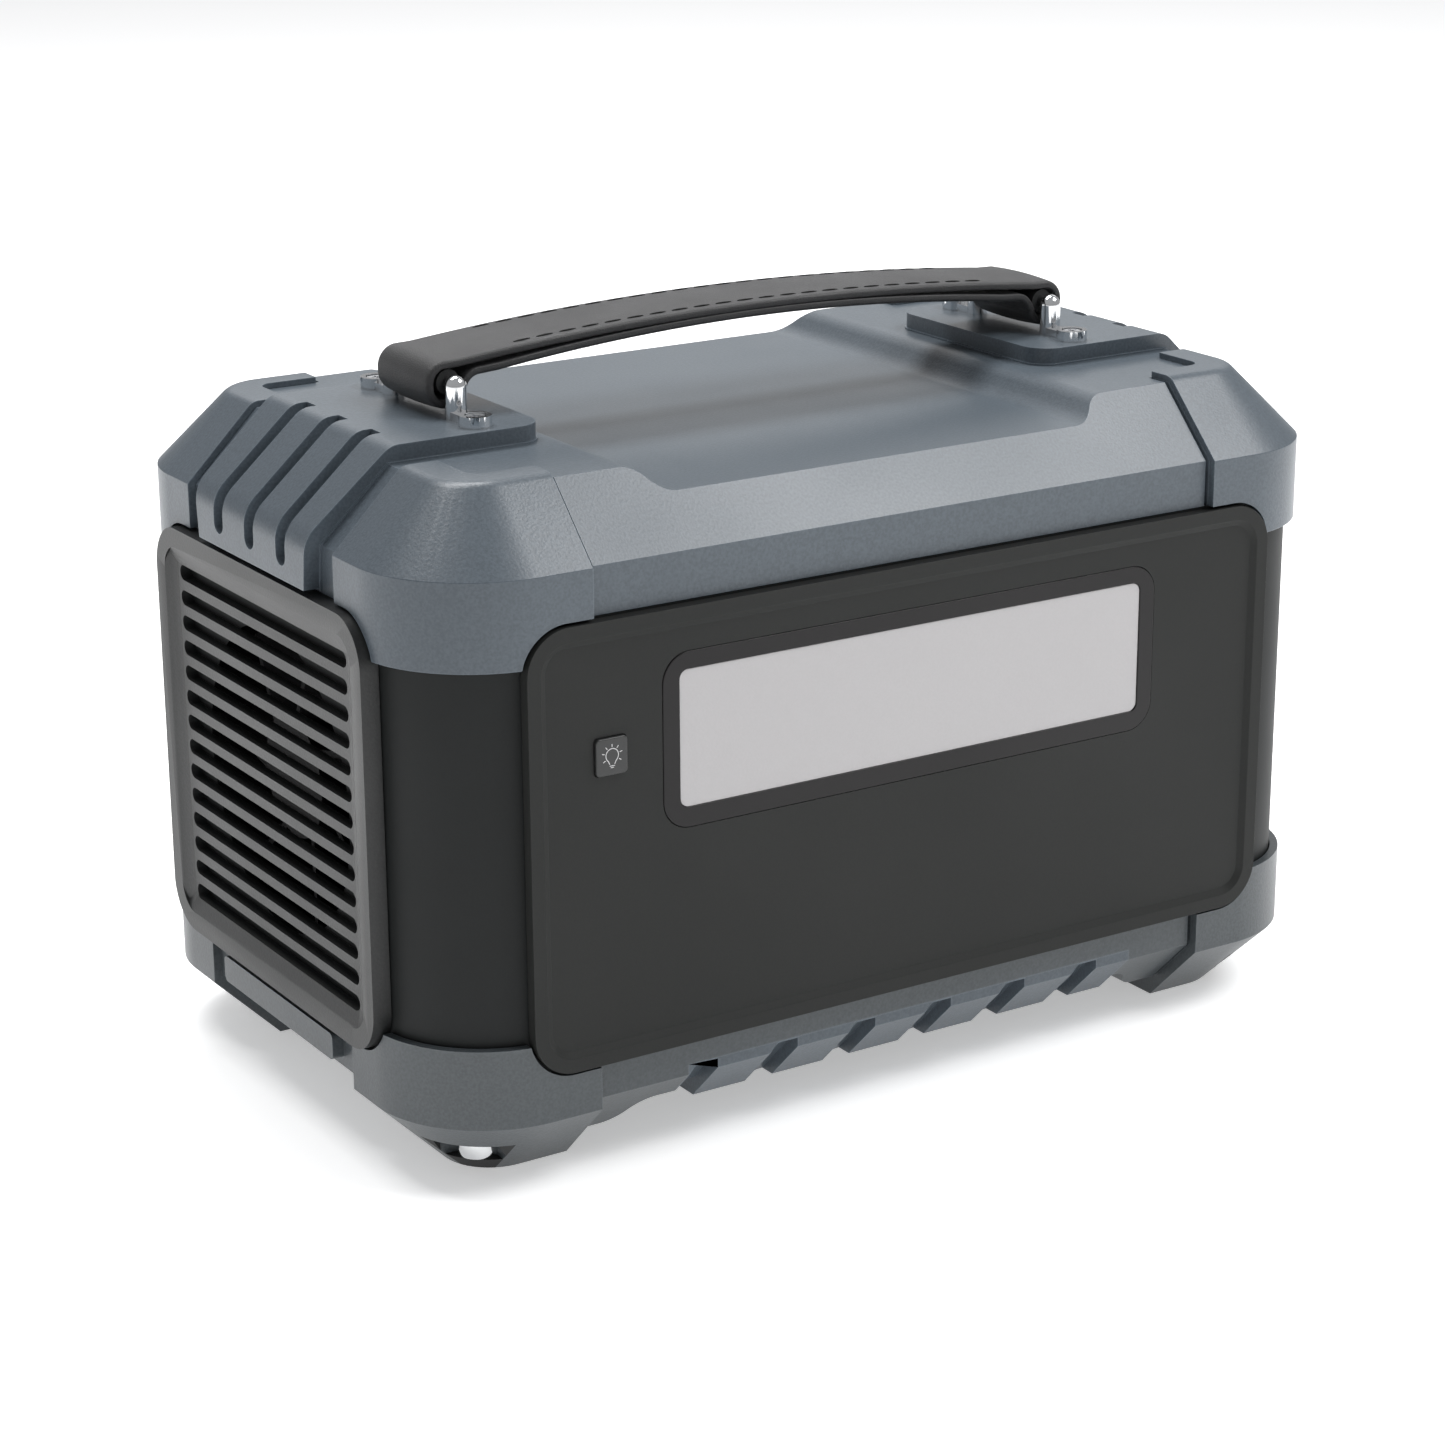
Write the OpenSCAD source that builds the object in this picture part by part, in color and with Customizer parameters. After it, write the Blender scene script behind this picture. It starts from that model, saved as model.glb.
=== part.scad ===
// Portable power station: two shell trays with corner guards round a dark middle body, an LED lamp
// panel on the front (-Y), an output panel on the back (+Y), louvred grilles on the ends and a strap
// handle along X. Millimetres, +Z up, origin at the bottom centre.

/* [Case] */
// Length over the corner guards, along X
guard_l = 297.4; // [285:1:310]
// Depth over the corner guards, along Y
guard_d = 182.6; // [174:1:192]
// Height of the corner guards
guard_h = 186.7; // [184:0.5:192]
// Radius of the upright corners of the guards
guard_r = 34; // [30:1:38]
// Chamfer along the top of the guards
guard_top_c = 20.4; // [18:0.2:22]
// Chamfer along the bottom of the guards
guard_low_c = 19.7; // [17:0.2:21]
// Step from the guards down to the shells beside them
guard_step = 2.4; // [1.8:0.1:3]
// Wall of the moulded shells
wall = 2.5; // [2:0.1:3]
// Underside of the shell between the guards
shell_z0 = 6.7; // [5:0.1:8]
// Top of the shell between the guards
shell_z1 = 185; // [183:0.5:186]
// Upper edge of the bottom guards
low_guard_z = 41.7; // [38:0.5:45]
// Lower edge of the top guards
top_guard_z = 142.8; // [138:0.5:148]

/* [Panels] */
// Width of the lamp panel and the output panel
panel_w = 240; // [230:1:244]
// Lower edge of those panels
panel_z0 = 32.3; // [30:0.1:36]
// Upper edge of those panels
panel_z1 = 152.4; // [148:0.1:152.6]
// Corner radius of those panels
panel_r = 12; // [8:1:16]
// Depth over both panels
panel_depth = 184.3; // [183:0.1:188]
// Width of the louvre grilles
grille_w = 125; // [110:1:130]
// Length over both grilles
grille_l = 302.5; // [300:0.5:306]
// Louvre slots in each grille
slots = 14; // [10:1:14]

/* [Lamp] */
// Width of the lamp's black frame
lamp_w = 160.4; // [140:1:170]
// Height of the lamp's black frame
lamp_h = 47.8; // [42:0.5:50]
// Height of the lamp's middle
lamp_z = 116.4; // [112:0.5:120]
// Width of the lamp button
key_w = 9.3; // [8:0.1:11]
// Travel of every push button
key_travel = 0.8; // [0.5:0.1:1.2]

/* [Handle] */
// Half the distance between the two handle bars
bar_x = 98.2; // [92:0.2:99]
// Width of the strap
strap_w = 29; // [24:0.5:29.5]
// Thickness of the strap
strap_t = 2.7; // [2.2:0.1:2.8]
// Top of the strap at mid span
strap_top = 210.5; // [209:0.5:214]
// Top of the saddles that carry the handle
saddle_z = 190; // [189:0.5:191]

/* [Hidden] */
$fn = 64;
EPS = 0.02;
SHELL = "#8f969c";
SHELL_DARK = "#5f666b";
CHARCOAL = "#303232";
PANEL = "#3a3b3a";
BLACK = "#1c1b1c";
RUBBER = "#2b2c2d";
CHROME = "#d8dadc";
STEEL = "#a9abad";
FR4 = "#1f5136";
COPPER = "#b87333";

// Shell block, inside the guards
shell_l = guard_l - 2 * guard_step;
shell_d = guard_d - 2 * guard_step;
shell_r = guard_r - guard_step;
shell_top_c = 18.9;
shell_low_c = 15.1;
rim_z = 153.2;
low_rim_z = 31.9;

// Middle body
body_gap = 0.3;
body_l = shell_l - 2 * body_gap;
body_d = shell_d - 2 * body_gap;
body_r = shell_r - body_gap;
rear_wall_w = 224;

// Guards
guard_x = 100;
guard_y = 44;
band_x = 118;
band_y = 62.5;
band_r = 4;
panel_gap = 0.8;
guard_soft = 5;

// Finger trough under the handle, and the recess under the case
trough_x = 80;
trough_flat = 66;
trough_depth = 6.5;
trough_skew = 3.5;
under_x = 91;
under_flat = 78;
under_depth = 7.8;

// Seam grooves beside the guards
seam_w = 1.2;
seam_deep = 1.6;
seam_y = 63;

// Tread rails along the bottom edges
rail_x0 = -72;
rail_x1 = 77;
rail_z0 = 9;
rail_z1 = 24.8;
rail_t = 5;
rail_cut = 3.5;
tooth_pitch = 25.6;
tooth_gap = 7.1;
gap_x0 = -66.35;
gap_count = 6;
flank_r = 13.3;
gap_rise = 1.8;

// Raised block low on each end
end_block_w = 68;
end_block_z0 = 24.3;
end_block_out = 3.4;
end_block_r = 1.5;

// Screws up through the bottom guards
case_screw_x = 118;
case_screw_y = 58;
case_boss_r = 6;
case_head_r = 2.6;
case_head_z = 1.4;
case_head_h = 1.8;
screw_slack = 0.1;

// Feet let into the bottom corners
foot_x = 121;
foot_y = 63.5;
foot_z = 11.2;
stud_r = 6.2;
stud_z = 4.3;
stud_xy = [123.6, 66.2];
stud_slot = 18;

// Panels
face_y = panel_depth / 2;
panel_y = body_d / 2;
panel_t = face_y - panel_y;
panel_h = panel_z1 - panel_z0;
panel_mid = (panel_z0 + panel_z1) / 2;
panel_rim = 3.9;
panel_bevel = 0.9;
panel_step = 0.6;

// Lamp
lamp_r = 8;
lamp_bevel = 1.8;
lamp_step = 1.2;
lamp_field = face_y - lamp_step;
window_w = 150;
window_h = 37.3;
window_z = 116.75;
window_r = 2.5;
window_seat = 1.2;
key_x = -95.85;
key_h = 10;
key_z = 116.4;
key_r = 1.2;
key_clear = 0.15;
lamp_key_proud = 1;
key_floor = key_travel + 0.2;
led_stem = 3.4;
switch_w = 6;

// Grilles and fans
grille_t = grille_l / 2 - body_l / 2;
grille_z0 = 34.5;
grille_z1 = 152.9;
grille_h = grille_z1 - grille_z0;
grille_mid = (grille_z0 + grille_z1) / 2;
grille_r = 13;
grille_rim = 5.5;
field_deep = 2;
field_bevel = 5;
slot_pitch = 7.22;
slot_h = 4.3;
slot_l = 102;
slot_mid = 93.2;
fan_size = 92;
fan_t = 25;
fan_z = 93.2;
fan_bore = 42.5;
fan_x = body_l / 2 - wall - fan_t / 2;
hub_r = 17;
blade_r = 41.5;
blades = 7;
blade_pitch = 38;
spindle_r = 2;

// Saddles
saddle_y_low = 32;
saddle_y_top = 35.5;
saddle_z_low = 154.4;
saddle_p = 5;
saddle_in = 81;
saddle_r_low = 10;
saddle_r_top = 7;
bend_x = 126.8;
bend_z = 168.2;
flange = 0.5;
saddle_corner = 8;
groove_w = 5.6;
groove_deep = 2.8;
groove_pitch = 19;
groove_x_end = 122.4;
groove_z_end = 161;

// Handle
post_r = 2.95;
post_y = 17.75;
post_z = 198.6;
lug_y = 28.2;
lug_r = 4.4;
lug_neck = 5.2;
lug_h = 3;
lug_floor = 1.9;
screw_r = 1.6;
screw_head_r = 2.6;
bar_z = 198.9;
bar_r = 3.4;
spigot_r = 1.6;
loop_out = 0.7;
loop_x = bar_x + loop_out;
loop_r = 6.6;
loop_z = 198.85;
loop_low = 0.9;
strap_bow = 0.000555;
strap_low = 205.1;
strap_low_bow = 0.00076;
strap_join = 86;
turn_r = 3.6;
gap_start = 34;

// Output panel
display_x = 74;
display_z = 121;
display_w = 62;
display_h = 34;
ac_x = [-42, -88];
ac_z = 66;
ac_w = 38;
ac_h = 34;
usb_a_x = [26, 6];
usb_c_x = [26, 6];
usb_a_z = 128;
usb_c_z = 110;
dc_x = [24, 6];
dc_z = 70;
inlet_x = 101;
inlet_z = 62;
car_x = 62;
car_z = 64;
car_bore_r = 10.5;
car_wall = 1.3;
car_depth = 38;
flange_r = 15;
cap_r = 15.6;
cap_t = 2.4;
pocket_r = 16.6;
pin_y = 90.5;
pin_z = car_z + 19.2;
pin_r = 0.8;
pin_clear = 0.06;
pin_l = 15;
knuckle_l = 8;
knuckle_r = 1.5;
main_x = -88;
main_z = 122;
main_r = 8;
ac_key_x = -42;
dc_key_x = -65;
row_key_z = 122;
row_key_w = 14;
row_key_h = 9;
rear_keys = [[main_x, main_z], [ac_key_x, row_key_z], [dc_key_x, row_key_z]];
display_deep = 1.8;
stem_r = 2.5;
stem_l = 5;

// Battery
deck_z = 17;
tray_t = 3;
cell_r = 10.5;
cell_l = 70;
cell_pitch = 22.5;
cells_x = 7;
cells_y = 4;
bar_t = 0.3;
cell_z0 = deck_z + tray_t + bar_t;
holder_t = 8;
pack_l = cells_x * cell_pitch + 6;
pack_d = cells_y * cell_pitch + 6;
post_x_in = 92;
post_y_in = 56;
board_t = 1.6;
board_mid_x = -8;
led_board_y = body_d / 2 - wall - 6;
control_board_y = body_d / 2 - wall - 7;
post_pin_r = 1.5;
led_posts = [[-104, 130], [82, 130], [-104, 103], [82, 103]];
control_posts = [[-102, 130], [-102, 94], [86, 94], [39, 131]];
bms_z = 95;
inverter_z = 106;

// ---------------------------------------------------------------- shared shapes

// Points of an arc about [cx, cy] from angle a0 to a1
function arc(cx, cy, r, a0, a1, n = 10) = [for (i = [0 : n]) let (a = a0 + (a1 - a0) * i / n)
    [cx + r * cos(a), cy + r * sin(a)]];

// The same outline on the other side of the Y axis, listed backwards
function mirror_x(pts) = [for (i = [len(pts) - 1 : -1 : 0]) [-pts[i][0], pts[i][1]]];

// Rounded rectangle centred on the origin
module rrect(w, h, r) {
    square([w - 2 * r, h], center = true);
    square([w, h - 2 * r], center = true);
    for (x = [-1, 1]) for (y = [-1, 1]) translate([x * (w / 2 - r), y * (h / 2 - r)]) circle(r);
}

// A rounded block with 45 degree chamfers round its bottom (cb) and top (ct); soft rounds its top edge
module chamfer_block(l, d, r, z0, z1, cb, ct, soft = 0) {
    function top_edge(h) = soft > 0
        ? arc(h - ct - soft * tan(22.5), z1 - soft, soft, 45, 90, 5)
        : [[h - ct, z1]];
    function right(h) = concat([[h - cb, z0], [h, z0 + cb], [h, z1 - ct]], top_edge(h));
    function side(h) = concat(right(h), mirror_x(right(h)));
    rotate([90, 0, 0]) linear_extrude(d - 2 * r, center = true) polygon(side(l / 2));
    rotate([90, 0, 90]) linear_extrude(l - 2 * r, center = true) polygon(side(d / 2));
    for (x = [-1, 1]) for (y = [-1, 1]) translate([x * (l / 2 - r), y * (d / 2 - r), 0])
        rotate_extrude() polygon(concat([[0, z0]], right(r), [[0, z1]]));
}

// Plate standing in the XZ plane from y0 to y0 + t, centred on x, z
module front_plate(x, z, w, h, r, y0, t) {
    translate([x, y0 + t, z]) rotate([90, 0, 0]) linear_extrude(t) rrect(w, h, r);
}

// Plate standing in the YZ plane from x0 to x0 + t, centred on y = 0 and z
module end_plate(z, w, h, r, x0, t) {
    translate([x0, 0, z]) rotate([90, 0, 90]) linear_extrude(t) rrect(w, h, r);
}

// Cylinder along Y from y0, t long
module y_cyl(x, z, r, y0, t) {
    translate([x, y0 + t, z]) rotate([90, 0, 0]) cylinder(r = r, h = t);
}

// Box given by its lowest corner and its size
module box(x, y, z, l, d, h) {
    translate([x, y, z]) cube([l, d, h]);
}

// The far corner of the part for one guard: sx and sy are its signs
module at_corner(sx, sy) {
    mirror([sx > 0 ? 0 : 1, 0, 0]) mirror([0, sy > 0 ? 0 : 1, 0]) children();
}

module shell_block() {
    chamfer_block(shell_l, shell_d, shell_r, shell_z0, shell_z1, shell_low_c, shell_top_c);
}

// Half of an S curve from [x1, 0] down to [x0, -depth], used by both troughs
function s_curve(x0, x1, depth, n = 6) = let (
    run = (x1 - x0) / 2,
    r = (run * run + depth * depth / 4) / depth,
    half = asin(run / r)
) concat(
    [for (i = [0 : n]) let (a = half * i / n) [x1 - r * sin(a), -(r - r * cos(a))]],
    [for (i = [1 : n]) let (a = half * (n - i) / n) [x0 + r * sin(a), -depth + (r - r * cos(a))]]
);

// Outline of the hollow across the top, from the floor to above the shell; its right end is further in
function trough_outline() = let (s = s_curve(trough_flat, trough_x, trough_depth)) concat(
    [for (p = s) [p[0] - trough_skew, shell_z1 + p[1]]],
    [for (i = [len(s) - 1 : -1 : 0]) [-s[i][0], shell_z1 + s[i][1]]],
    [[-trough_x, shell_z1 + 5], [trough_x - trough_skew, shell_z1 + 5]]
);

// Outline of the hollow across the underside
function under_outline() = let (s = s_curve(under_flat, under_x, under_depth)) concat(
    [for (p = s) [p[0], shell_z0 - p[1]]],
    [for (i = [len(s) - 1 : -1 : 0]) [-s[i][0], shell_z0 - s[i][1]]],
    [[-under_x, shell_z0 - 5], [under_x, shell_z0 - 5]]
);

module across(outline) {
    rotate([90, 0, 0]) linear_extrude(guard_d + 2, center = true) polygon(outline);
}

// ---------------------------------------------------------------- shells

// Section of a tread rail in Y and Z, on the +Y side
function rail_section(t) = let (
    face = shell_d / 2,
    line = face - shell_low_c - shell_z0,
    back = line - t * sqrt(2)
) [[face, rail_z1], [face, shell_z0 + shell_low_c], [line + rail_z0, rail_z0], [back + rail_z0, rail_z0],
    [back + rail_z1, rail_z1]];

// A rail on the +Y side, grown at both ends by spare
module rail_solid(t, spare = 0) {
    translate([rail_x0 - spare, 0, 0]) rotate([90, 0, 90]) linear_extrude(rail_x1 - rail_x0 + 2 * spare)
        polygon(rail_section(t));
}

module bottom_shell() {
    color(SHELL_DARK) difference() {
        union() {
            intersection() {
                shell_block();
                box(-shell_l, -shell_d, 0, 2 * shell_l, 2 * shell_d, low_rim_z);
            }
            for (s = [-1, 1]) end_block(s);
        }
        difference() {
            chamfer_block(shell_l - 2 * wall, shell_d - 2 * wall, shell_r - wall, shell_z0 + wall,
                low_rim_z + 30, shell_low_c - 1, 5);
            box(-under_x, -shell_d, 0, 2 * under_x, 2 * shell_d, deck_z);
            for (s = [0, 1]) mirror([0, s, 0]) rail_solid(rail_t + wall, wall);
            case_screw_places() cylinder(r = case_boss_r, h = deck_z);
        }
        across(under_outline());
        for (s = [0, 1]) mirror([0, s, 0]) rail_solid(rail_t);
        seam_grooves();
        case_screw_places() cylinder(r = screw_r + screw_slack, h = deck_z - 1);
    }
}

// Raised block low on each end of the bottom shell, rooted in its wall
module end_block(s) {
    x0 = s > 0 ? shell_l / 2 - 1 : -shell_l / 2 - end_block_out;
    end_plate((end_block_z0 + low_rim_z) / 2, end_block_w, low_rim_z - end_block_z0, end_block_r, x0,
        end_block_out + 1);
}

module case_screw_places() {
    for (x = [-1, 1]) for (y = [-1, 1]) translate([x * case_screw_x, y * case_screw_y, 0]) children();
}

// The grooves that run up both long faces beside the guards
module seam_grooves() {
    for (sx = [-1, 1]) for (sy = [-1, 1]) difference() {
        box(sx > 0 ? guard_x - seam_w : -guard_x, sy > 0 ? seam_y : -shell_d, 0, seam_w,
            shell_d - seam_y, shell_z1 + 5);
        chamfer_block(shell_l - 2 * seam_deep, shell_d - 2 * seam_deep, shell_r - seam_deep,
            shell_z0 + seam_deep, shell_z1 - seam_deep, shell_low_c - 0.6, shell_top_c - 0.6);
    }
}

module top_shell() {
    color(SHELL) difference() {
        intersection() {
            shell_block();
            box(-shell_l, -shell_d, rim_z, 2 * shell_l, 2 * shell_d, 60);
        }
        difference() {
            chamfer_block(shell_l - 2 * wall, shell_d - 2 * wall, shell_r - wall, rim_z - 20,
                shell_z1 - wall, 5, shell_top_c - 1);
            box(-trough_x - 4, -shell_d, shell_z1 - trough_depth - wall, 2 * trough_x + 8, 2 * shell_d, 30);
        }
        across(trough_outline());
        seam_grooves();
        handle_screw_holes();
    }
}

module handle_screw_holes() {
    for (x = [-1, 1]) for (y = [-1, 1]) translate([x * bar_x, y * lug_y, shell_z1 - 6])
        cylinder(r = screw_r + screw_slack, h = 20);
}

module mid_body() {
    color(CHARCOAL) difference() {
        translate([0, 0, low_rim_z]) linear_extrude(rim_z - low_rim_z) difference() {
            rrect(body_l, body_d, body_r);
            rrect(body_l - 2 * wall, body_d - 2 * wall, body_r - wall);
            translate([-rear_wall_w / 2, body_d / 2 - 2 * wall]) square([rear_wall_w, 3 * wall]);
        }
        for (s = [-1, 1]) translate([s * body_l / 2, 0, fan_z]) rotate([0, 90, 0])
            cylinder(r = fan_bore, h = 4 * wall, center = true);
        front_plate(0, window_z, window_w - 4, window_h - 4, window_r, -body_d / 2 - 1, wall + 2);
        y_cyl(key_x, key_z, stem_r + 0.3, -body_d / 2 - 1, wall + 2);
    }
}

// The wall behind the output panel, which closes the middle body
module rear_wall() {
    color(CHARCOAL) difference() {
        box(-rear_wall_w / 2, body_d / 2 - wall, low_rim_z, rear_wall_w, wall, rim_z - low_rim_z);
        rear_openings(body_d / 2 - wall - 1, wall + 2);
    }
}

// Post on the inside of a wall that a board stands on, with the pin that passes through the board
module board_post(p, y0) {
    y_cyl(p[0], p[1], 3, y0 + board_t, body_d / 2 - wall - y0 - board_t);
    y_cyl(p[0], p[1], post_pin_r, y0 - 0.6, board_t + 1);
}

// Holes in the back wall for everything that passes through it
module rear_openings(y0, t) {
    y_cyl(car_x, car_z, car_bore_r + car_wall + 0.1, y0, t);
    for (x = ac_x) front_plate(x, ac_z, ac_w - 3.8, ac_h - 3.8, 3, y0, t);
    for (x = usb_a_x) front_plate(x, usb_a_z, 13.6, 6.2, 0.6, y0, t);
    for (x = usb_c_x) front_plate(x, usb_c_z, 9.6, 3.8, 1.8, y0, t);
    for (x = dc_x) y_cyl(x, dc_z, 4.6, y0, t);
    y_cyl(inlet_x, inlet_z, 5.6, y0, t);
    front_plate(display_x, display_z, display_w - 6, display_h - 6, 1, y0, t);
    for (p = rear_keys) y_cyl(p[0], p[1], stem_r + 0.3, y0, t);
}

// ---------------------------------------------------------------- corner guards

// Where the guards give way to the panels and the grilles
module panel_clearance() {
    w = panel_w + 2 * panel_gap;
    h = panel_h + 2 * panel_gap;
    front_plate(0, panel_mid, w, h, panel_r + panel_gap, 0, guard_d);
    end_plate(grille_mid, grille_w + 2 * panel_gap, grille_h + 2 * panel_gap, grille_r + panel_gap, 0,
        guard_l);
}

// Outer block less the shell, in the +X +Y corner
module guard_corner(z0, z1) {
    difference() {
        chamfer_block(guard_l, guard_d, guard_r, 0, guard_h, guard_low_c, guard_top_c, guard_soft);
        shell_block();
        box(-guard_l, -guard_d, z1, 2 * guard_l, 2 * guard_d, guard_h);
        box(-guard_l, -guard_d, z0 - guard_h, 2 * guard_l, 2 * guard_d, guard_h);
        box(-guard_l, -guard_d, -1, guard_l + guard_x, 2 * guard_d, guard_h + 2);
        box(-guard_l, -guard_d, -1, 2 * guard_l, guard_d + guard_y, guard_h + 2);
        panel_clearance();
    }
}

module top_guard(sx, sy) {
    color(SHELL) at_corner(sx, sy) difference() {
        guard_corner(top_guard_z, guard_h + 1);
        translate([0, 0, shell_z1 - 2]) linear_extrude(5) difference() {
            square([band_x, band_y]);
            translate([band_x - band_r, band_y - band_r]) difference() {
                square(band_r + 1);
                circle(band_r);
            }
        }
    }
}

// Corner pocket that holds a foot
module foot_pocket() {
    box(foot_x, foot_y, -1, 60, 60, foot_z + 1);
}

module bottom_guard(sx, sy) {
    color(SHELL_DARK) at_corner(sx, sy) difference() {
        guard_corner(0, low_guard_z);
        foot_pocket();
        translate([case_screw_x, case_screw_y, -1]) cylinder(r = screw_r + screw_slack, h = 12);
        translate([case_screw_x, case_screw_y, -1])
            cylinder(r = case_head_r + 0.3, h = 1 + case_head_z + case_head_h);
    }
}

module case_screws() {
    color(STEEL) case_screw_places() difference() {
        union() {
            translate([0, 0, case_head_z]) cylinder(r = case_head_r, h = case_head_h);
            translate([0, 0, case_head_z + 1]) cylinder(r = screw_r, h = 13);
        }
        for (a = [0, 90]) rotate(a) box(-1.5, -0.3, 1, 3, 0.6, 1.2);
    }
}

module corner_feet() {
    color(RUBBER) for (sx = [-1, 1]) for (sy = [-1, 1]) at_corner(sx, sy) difference() {
        intersection() {
            chamfer_block(guard_l, guard_d, guard_r, 0, 60, guard_low_c, 5);
            box(foot_x, foot_y, 0, 60, 60, foot_z);
        }
        shell_block();
        translate([stud_xy[0], stud_xy[1], stud_z]) {
            cylinder(r = stud_r + 0.3, h = foot_z);
            rotate(45) box(0, -stud_slot / 2, 0, 30, stud_slot, foot_z);
        }
    }
}

module foot_studs() {
    color(CHROME) for (sx = [-1, 1]) for (sy = [-1, 1]) at_corner(sx, sy) difference() {
        intersection() {
            translate([stud_xy[0], stud_xy[1], stud_z]) cylinder(r = stud_r, h = foot_z - stud_z);
            box(foot_x, foot_y, 0, 60, 60, foot_z);
        }
        shell_block();
    }
}

// ---------------------------------------------------------------- saddles and rails

// Outer line of a saddle in X and Z, moved inwards by p
function saddle_line(p) = let (
    face = shell_l / 2 + saddle_p,
    turn = atan2(face - bend_x, saddle_z - bend_z),
    low_z = bend_z - saddle_r_low * tan(turn / 2),
    top_x = bend_x - saddle_r_top * tan((90 - turn) / 2)
) concat(
    [[face - p, saddle_z_low - 5]],
    arc(face - saddle_r_low, low_z, saddle_r_low - p, 0, turn, 6),
    arc(top_x, saddle_z - saddle_r_top, saddle_r_top - p, turn, 90, 6),
    [[saddle_in - 5, saddle_z - p]]
);

// Area between the outer line and the core, as one outline
function saddle_outline(p) = concat(saddle_line(p), [[saddle_in - 5, saddle_z_low - 5]]);

// Everything within a saddle's sides, grown by more
module saddle_sides(more) {
    low = saddle_y_low + more;
    top = saddle_y_top + more;
    intersection() {
        rotate([90, 0, 90]) linear_extrude(shell_l) polygon([[-low, saddle_z_low - more],
            [low, saddle_z_low - more], [top, saddle_z], [top, saddle_z + 1], [-top, saddle_z + 1],
            [-top, saddle_z]]);
        translate([saddle_in + 50, 0, saddle_z_low - 5]) linear_extrude(50)
            rrect(2 * (50 + more), 2 * top, saddle_corner + more);
    }
}

// The saddle, with a thin flange where it meets the shell
module saddle_body() {
    intersection() {
        rotate([90, 0, 0]) linear_extrude(4 * saddle_y_top, center = true) polygon(saddle_outline(0));
        saddle_sides(0);
    }
    intersection() {
        chamfer_block(shell_l + 2 * flange, shell_d + 2 * flange, shell_r + flange, shell_z0,
            shell_z1 + flange, shell_low_c, shell_top_c + flange / 2);
        saddle_sides(flange);
    }
}

// One groove that runs from the end face over the bend on to the top
module saddle_groove(y) {
    translate([0, y, 0]) rotate([90, 0, 0]) linear_extrude(groove_w, center = true) difference() {
        polygon(concat(saddle_line(-3), [[saddle_in - 5, saddle_z_low - 5]]));
        polygon(saddle_outline(groove_deep));
        square([groove_x_end, saddle_z + 5]);
        square([shell_l, groove_z_end]);
    }
    translate([shell_l / 2 + saddle_p - groove_deep, y, groove_z_end]) rotate([0, 90, 0])
        cylinder(d = groove_w, h = groove_deep + 1);
}

module end_saddle(s) {
    color(SHELL) mirror([s > 0 ? 0 : 1, 0, 0]) difference() {
        saddle_body();
        shell_block();
        for (i = [-1, 0, 1]) saddle_groove(i * groove_pitch);
        for (y = [-1, 1]) translate([bar_x, y * lug_y, shell_z1 - 1])
            cylinder(r = screw_r + screw_slack, h = 12);
    }
}

module tread_rail(s) {
    drop = rail_cut * sin(45);
    color(SHELL_DARK) mirror([0, s > 0 ? 0 : 1, 0]) difference() {
        rail_solid(rail_t);
        for (i = [0 : gap_count - 1])
            translate([gap_x0 + i * tooth_pitch, shell_d / 2 - drop, shell_z0 + shell_low_c + drop])
                rotate([-45, 0, 0]) translate([0, 0, -30]) linear_extrude(30 + gap_rise) tooth_gap_shape();
        box(rail_x0 - 1, 0, 0, gap_x0 + tooth_gap / 2 - rail_x0 + 1, shell_d, shell_z0 + under_depth);
    }
}

// A gap between two teeth, seen along the slope: one flank is round and the other straight
module tooth_gap_shape() {
    polygon(concat([[tooth_gap / 2, 2 * flank_r], [tooth_gap / 2, 0]],
        arc(tooth_gap / 2, flank_r, flank_r, 270, 180, 10), [[tooth_gap / 2 - flank_r, 2 * flank_r]]));
}

// ---------------------------------------------------------------- lamp panel

// Side of a sunk field, e to either side of its middle
function field_side(e, step, bevel) = [[-e + bevel, 0], [e - bevel, 0], [e, step], [e, step + 1],
    [-e, step + 1], [-e, step]];

// The sunk field of a panel as a cutter, with a bevel all round; its floor is at z = 0
module panel_field(w, h, r, step, bevel) {
    rotate([90, 0, 0]) linear_extrude(h - 2 * r, center = true) polygon(field_side(w / 2, step, bevel));
    rotate([90, 0, 90]) linear_extrude(w - 2 * r, center = true) polygon(field_side(h / 2, step, bevel));
    for (x = [-1, 1]) for (y = [-1, 1]) translate([x * (w / 2 - r), y * (h / 2 - r), 0])
        rotate_extrude() polygon([[0, 0], [r - bevel, 0], [r, step], [r, step + 1], [0, step + 1]]);
}

module panel_plate(step, bevel) {
    difference() {
        front_plate(0, panel_mid, panel_w, panel_h, panel_r, panel_y, panel_t);
        translate([0, face_y - step, panel_mid]) rotate([-90, 0, 0])
            panel_field(panel_w - 2 * panel_rim, panel_h - 2 * panel_rim, panel_r - panel_rim, step, bevel);
    }
}

module led_panel() {
    color(PANEL) mirror([0, 1, 0]) difference() {
        panel_plate(lamp_step, lamp_bevel);
        front_plate(0, lamp_z, lamp_w, lamp_h, lamp_r, panel_y - 1, panel_t + 2);
        front_plate(key_x, key_z, key_w + 2 * key_clear, key_h + 2 * key_clear, key_r, panel_y - 1,
            panel_t + 2);
    }
}

module led_frame() {
    color(BLACK) mirror([0, 1, 0]) difference() {
        front_plate(0, lamp_z, lamp_w - 0.2, lamp_h - 0.2, lamp_r, panel_y, lamp_field - panel_y + 0.2);
        front_plate(0, window_z, window_w, window_h, window_r, panel_y + window_seat, panel_t);
        front_plate(0, window_z, window_w - 4, window_h - 4, window_r, panel_y - 1, panel_t);
    }
}

module led_window() {
    color("#c4c2c3") mirror([0, 1, 0]) front_plate(0, window_z, window_w - 0.2, window_h - 0.2, window_r,
        panel_y + window_seat, 1);
}

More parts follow.
